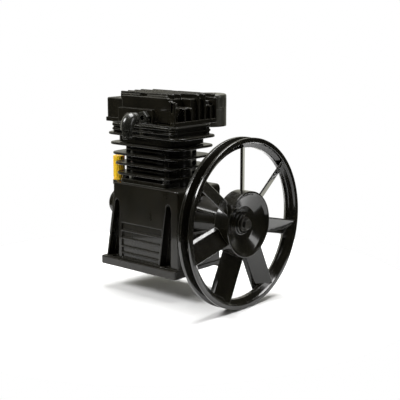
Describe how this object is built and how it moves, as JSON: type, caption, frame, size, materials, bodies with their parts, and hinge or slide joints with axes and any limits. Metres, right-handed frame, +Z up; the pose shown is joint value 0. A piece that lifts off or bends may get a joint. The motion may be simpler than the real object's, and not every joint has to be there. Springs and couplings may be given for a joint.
{
  "type": "air compressor pump",
  "caption": "Belt-driven reciprocating air compressor pump with in-line finned cylinders, a finned head and a bladed fan flywheel with a V-belt groove.",
  "frame": {"origin": "centre of the mounting flange's bottom face", "axes": "+Z up along the cylinders, +X along the crankshaft towards the flywheel, +Y towards the intake filter"},
  "size_m": [0.3355, 0.31, 0.38],
  "materials": {
    "casting_paint": "gloss black paint over sand casting",
    "wheel_paint": "gloss black paint",
    "black_fittings": "gloss black paint over forged fittings",
    "filter_paint": "satin dark grey paint",
    "dark_fasteners": "black oxide with overspray",
    "forged_steel": "machined",
    "bearing_steel": "ground",
    "piston_alloy": "machined",
    "gasket_sheet": "matt fibre",
    "seal_rubber": "matt",
    "drain_copper": "dull copper",
    "filter_paper": "pleated paper",
    "yellow_plastic": "moulded, semi-gloss",
    "sight_glass": "clear"
  },
  "bodies": {
    "pump": {"base_gasket": "gasket_sheet", "block_gasket": "gasket_sheet", "block_studs_and_nuts": "dark_fasteners", "crankcase": "casting_paint", "crankcase_breather": "black_fittings", "cylinder_block": "casting_paint", "cylinder_head": "casting_paint", "discharge_elbow": "black_fittings", "discharge_reeds": "bearing_steel", "drain_plug": "dark_fasteners", "drain_washer": "drain_copper", "drive_bearing_outer": "bearing_steel", "drive_end_housing": "casting_paint", "drive_housing_bolts": "dark_fasteners", "drive_housing_gasket": "gasket_sheet", "filter_base": "filter_paint", "filter_cover": "filter_paint", "filter_element": "filter_paper", "flare_nut": "black_fittings", "head_bolts": "dark_fasteners", "head_gasket": "gasket_sheet", "port_plug": "dark_fasteners", "rear_bearing_cover": "casting_paint", "rear_bearing_outer": "bearing_steel", "rear_cover_bolts": "dark_fasteners", "rear_cover_gasket": "gasket_sheet", "shaft_seal": "seal_rubber", "sight_glass_bezel": "black_fittings", "sight_glass_lens": "sight_glass", "suction_reeds": "bearing_steel", "valve_plate": "bearing_steel"},
    "crankshaft": {"crankshaft": "forged_steel", "flywheel": "wheel_paint", "flywheel_key": "forged_steel", "flywheel_washer": "dark_fasteners", "flywheel_bolt": "dark_fasteners", "rear_bearing_inner": "bearing_steel", "rear_bearing_balls": "bearing_steel", "drive_bearing_inner": "bearing_steel", "drive_bearing_balls": "bearing_steel"},
    "piston_1": {"piston_1": "piston_alloy", "piston_rings_1": "bearing_steel", "wrist_pin_1": "bearing_steel"},
    "piston_2": {"piston_2": "piston_alloy", "piston_rings_2": "bearing_steel", "wrist_pin_2": "bearing_steel"},
    "rod_1": {"connecting_rod_1": "forged_steel", "rod_cap_1": "forged_steel", "rod_bolts_1": "forged_steel"},
    "rod_2": {"connecting_rod_2": "forged_steel", "rod_cap_2": "forged_steel", "rod_bolts_2": "forged_steel"},
    "oil_cap": {"oil_filler_cap": "yellow_plastic"}
  },
  "joints": [
    {"name": "crank_spin", "type": "hinge", "parent": "pump", "child": "crankshaft", "pos_m": [0, 0, 0.11], "axis": [1, 0, 0], "continuous": true, "deforming": ["connecting_rod_1", "rod_cap_1", "rod_bolts_1", "connecting_rod_2", "rod_cap_2", "rod_bolts_2"]},
    {"name": "piston_1_stroke", "type": "slide", "parent": "pump", "child": "piston_1", "axis": [0, 0, 1], "range_m": [-0.046, 0], "deforming": ["connecting_rod_1", "rod_cap_1", "rod_bolts_1"]},
    {"name": "piston_2_stroke", "type": "slide", "parent": "pump", "child": "piston_2", "axis": [0, 0, 1], "range_m": [0, 0.046], "deforming": ["connecting_rod_2", "rod_cap_2", "rod_bolts_2"]},
    {"name": "rod_1_swing", "type": "hinge", "parent": "piston_1", "child": "rod_1", "pos_m": [-0.032, 0, 0.246], "axis": [1, 0, 0], "range_deg": [-11.7, 11.7], "deforming": ["connecting_rod_1", "rod_cap_1", "rod_bolts_1"]},
    {"name": "rod_2_swing", "type": "hinge", "parent": "piston_2", "child": "rod_2", "pos_m": [0.032, 0, 0.2], "axis": [1, 0, 0], "range_deg": [-11.7, 11.7], "deforming": ["connecting_rod_2", "rod_cap_2", "rod_bolts_2"]},
    {"name": "oil_cap_lift", "type": "slide", "parent": "pump", "child": "oil_cap", "axis": [0, 0, 1], "range_m": [0, 0.007]}
  ]
}
